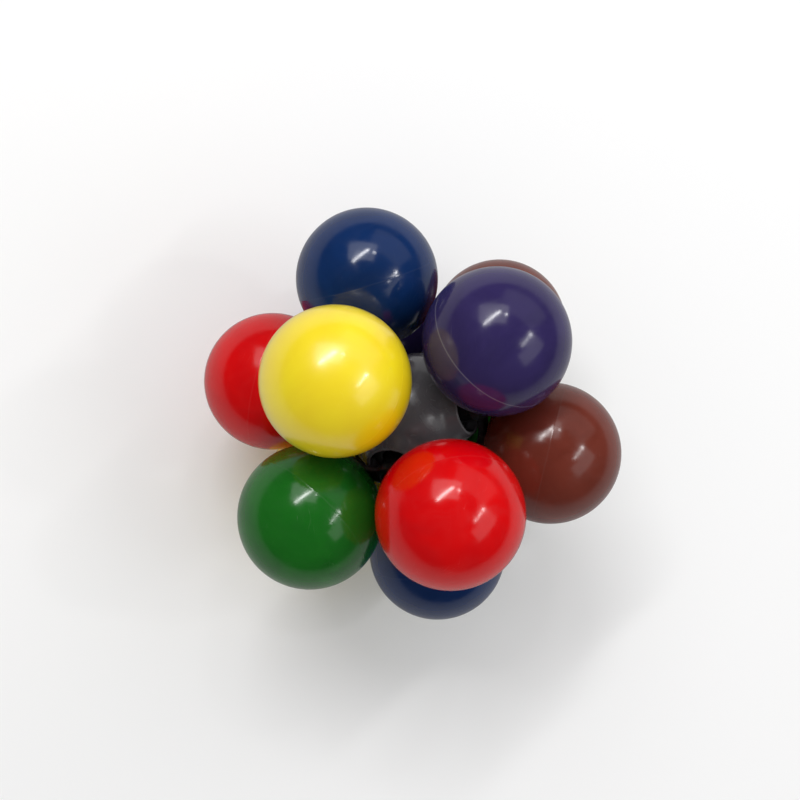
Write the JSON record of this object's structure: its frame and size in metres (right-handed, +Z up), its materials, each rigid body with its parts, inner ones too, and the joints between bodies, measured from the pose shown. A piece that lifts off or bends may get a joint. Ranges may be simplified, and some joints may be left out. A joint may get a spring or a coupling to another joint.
{
  "type": "pull-and-twist ball puzzle",
  "caption": "Hand puzzle of glossy coloured balls held in pairs around a dark ported core; each pair twists as it pulls out against an elastic cord, and springs back.",
  "frame": {"origin": "on the surface the puzzle stands on, under the middle of its bounding box", "axes": "+Z up, along the axis of threefold symmetry; +X and +Y level, with +X to the right of the upper purple ball's port"},
  "size_m": [0.0734, 0.0734, 0.0651],
  "materials": {
    "yellow_plastic": "glossy moulded plastic",
    "red_plastic": "glossy moulded plastic",
    "blue_plastic": "glossy moulded plastic",
    "purple_plastic": "glossy moulded plastic",
    "green_plastic": "glossy moulded plastic",
    "brown_plastic": "glossy moulded plastic",
    "core_plastic": "satin-gloss grey-black moulded plastic",
    "black_plastic": "plain black moulded plastic",
    "cord": "pale round elastic cord"
  },
  "bodies": {
    "core": {"core_shell_right": "core_plastic", "core_shell_left": "core_plastic", "cord_hub": "black_plastic", "upper_purple_brown_bushing": "black_plastic", "upper_purple_brown_cord": "cord", "upper_yellow_blue_bushing": "black_plastic", "upper_yellow_blue_cord": "cord", "upper_red_green_bushing": "black_plastic", "upper_red_green_cord": "cord", "lower_red_yellow_bushing": "black_plastic", "lower_red_yellow_cord": "cord", "lower_blue_green_bushing": "black_plastic", "lower_blue_green_cord": "cord", "lower_brown_purple_bushing": "black_plastic", "lower_brown_purple_cord": "cord"},
    "upper_purple_brown_bead": {"upper_purple_brown_cord_bead": "black_plastic"},
    "upper_purple_brown_twin": {"upper_purple_brown_yoke": "black_plastic", "upper_purple_outer_half": "purple_plastic", "upper_purple_inner_half": "purple_plastic", "upper_brown_outer_half": "brown_plastic", "upper_brown_inner_half": "brown_plastic"},
    "upper_yellow_blue_bead": {"upper_yellow_blue_cord_bead": "black_plastic"},
    "upper_yellow_blue_twin": {"upper_yellow_blue_yoke": "black_plastic", "upper_yellow_outer_half": "yellow_plastic", "upper_yellow_inner_half": "yellow_plastic", "upper_blue_outer_half": "blue_plastic", "upper_blue_inner_half": "blue_plastic"},
    "upper_red_green_bead": {"upper_red_green_cord_bead": "black_plastic"},
    "upper_red_green_twin": {"upper_red_green_yoke": "black_plastic", "upper_red_outer_half": "red_plastic", "upper_red_inner_half": "red_plastic", "upper_green_outer_half": "green_plastic", "upper_green_inner_half": "green_plastic"},
    "lower_red_yellow_bead": {"lower_red_yellow_cord_bead": "black_plastic"},
    "lower_red_yellow_twin": {"lower_red_yellow_yoke": "black_plastic", "lower_red_outer_half": "red_plastic", "lower_red_inner_half": "red_plastic", "lower_yellow_outer_half": "yellow_plastic", "lower_yellow_inner_half": "yellow_plastic"},
    "lower_blue_green_bead": {"lower_blue_green_cord_bead": "black_plastic"},
    "lower_blue_green_twin": {"lower_blue_green_yoke": "black_plastic", "lower_blue_outer_half": "blue_plastic", "lower_blue_inner_half": "blue_plastic", "lower_green_outer_half": "green_plastic", "lower_green_inner_half": "green_plastic"},
    "lower_brown_purple_bead": {"lower_brown_purple_cord_bead": "black_plastic"},
    "lower_brown_purple_twin": {"lower_brown_purple_yoke": "black_plastic", "lower_brown_outer_half": "brown_plastic", "lower_brown_inner_half": "brown_plastic", "lower_purple_outer_half": "purple_plastic", "lower_purple_inner_half": "purple_plastic"}
  },
  "joints": [
    {"name": "upper_purple_brown_pull", "type": "slide", "parent": "core", "child": "upper_purple_brown_bead", "axis": [0.8079, 0.1179, 0.5774], "range_m": [0, 0.02], "stiffness_N_per_m": 3, "springref_m": -0.03, "deforming": ["upper_purple_brown_cord"]},
    {"name": "upper_purple_brown_turn", "type": "hinge", "parent": "upper_purple_brown_bead", "child": "upper_purple_brown_twin", "pos_m": [-0.00009, 0.0001, 0.03184], "axis": [0.8079, 0.1179, 0.5774], "range_deg": [0, 90]},
    {"name": "upper_yellow_blue_pull", "type": "slide", "parent": "core", "child": "upper_yellow_blue_bead", "axis": [-0.506, 0.6408, 0.5774], "range_m": [0, 0.02], "stiffness_N_per_m": 3, "springref_m": -0.03, "deforming": ["upper_yellow_blue_cord"]},
    {"name": "upper_yellow_blue_turn", "type": "hinge", "parent": "upper_yellow_blue_bead", "child": "upper_yellow_blue_twin", "pos_m": [-0.00009, 0.0001, 0.03184], "axis": [0.506, -0.6408, -0.5774], "range_deg": [0, 90]},
    {"name": "upper_red_green_pull", "type": "slide", "parent": "core", "child": "upper_red_green_bead", "axis": [-0.3019, -0.7586, 0.5774], "range_m": [0, 0.02], "stiffness_N_per_m": 3, "springref_m": -0.03, "deforming": ["upper_red_green_cord"]},
    {"name": "upper_red_green_turn", "type": "hinge", "parent": "upper_red_green_bead", "child": "upper_red_green_twin", "pos_m": [-0.00009, 0.0001, 0.03184], "axis": [-0.3019, -0.7586, 0.5774], "range_deg": [0, 90]},
    {"name": "lower_red_yellow_pull", "type": "slide", "parent": "core", "child": "lower_red_yellow_bead", "axis": [-0.8079, -0.1179, -0.5774], "range_m": [0, 0.02], "stiffness_N_per_m": 3, "springref_m": -0.03, "deforming": ["lower_red_yellow_cord"]},
    {"name": "lower_red_yellow_turn", "type": "hinge", "parent": "lower_red_yellow_bead", "child": "lower_red_yellow_twin", "pos_m": [-0.00009, 0.0001, 0.03184], "axis": [0.8079, 0.1179, 0.5774], "range_deg": [0, 90]},
    {"name": "lower_blue_green_pull", "type": "slide", "parent": "core", "child": "lower_blue_green_bead", "axis": [0.506, -0.6408, -0.5774], "range_m": [0, 0.02], "stiffness_N_per_m": 3, "springref_m": -0.03, "deforming": ["lower_blue_green_cord"]},
    {"name": "lower_blue_green_turn", "type": "hinge", "parent": "lower_blue_green_bead", "child": "lower_blue_green_twin", "pos_m": [-0.00009, 0.0001, 0.03184], "axis": [-0.506, 0.6408, 0.5774], "range_deg": [0, 90]},
    {"name": "lower_brown_purple_pull", "type": "slide", "parent": "core", "child": "lower_brown_purple_bead", "axis": [0.3019, 0.7586, -0.5774], "range_m": [0, 0.02], "stiffness_N_per_m": 3, "springref_m": -0.03, "deforming": ["lower_brown_purple_cord"]},
    {"name": "lower_brown_purple_turn", "type": "hinge", "parent": "lower_brown_purple_bead", "child": "lower_brown_purple_twin", "pos_m": [-0.00009, 0.0001, 0.03184], "axis": [-0.3019, -0.7586, 0.5774], "range_deg": [0, 90]}
  ],
  "couplings": [
    {"joint": "upper_purple_brown_pull", "follows": "upper_purple_brown_turn", "m_per_rad": 0.01273},
    {"joint": "upper_yellow_blue_pull", "follows": "upper_yellow_blue_turn", "m_per_rad": 0.01273},
    {"joint": "upper_red_green_pull", "follows": "upper_red_green_turn", "m_per_rad": 0.01273},
    {"joint": "lower_red_yellow_pull", "follows": "lower_red_yellow_turn", "m_per_rad": 0.01273},
    {"joint": "lower_blue_green_pull", "follows": "lower_blue_green_turn", "m_per_rad": 0.01273},
    {"joint": "lower_brown_purple_pull", "follows": "lower_brown_purple_turn", "m_per_rad": 0.01273}
  ]
}
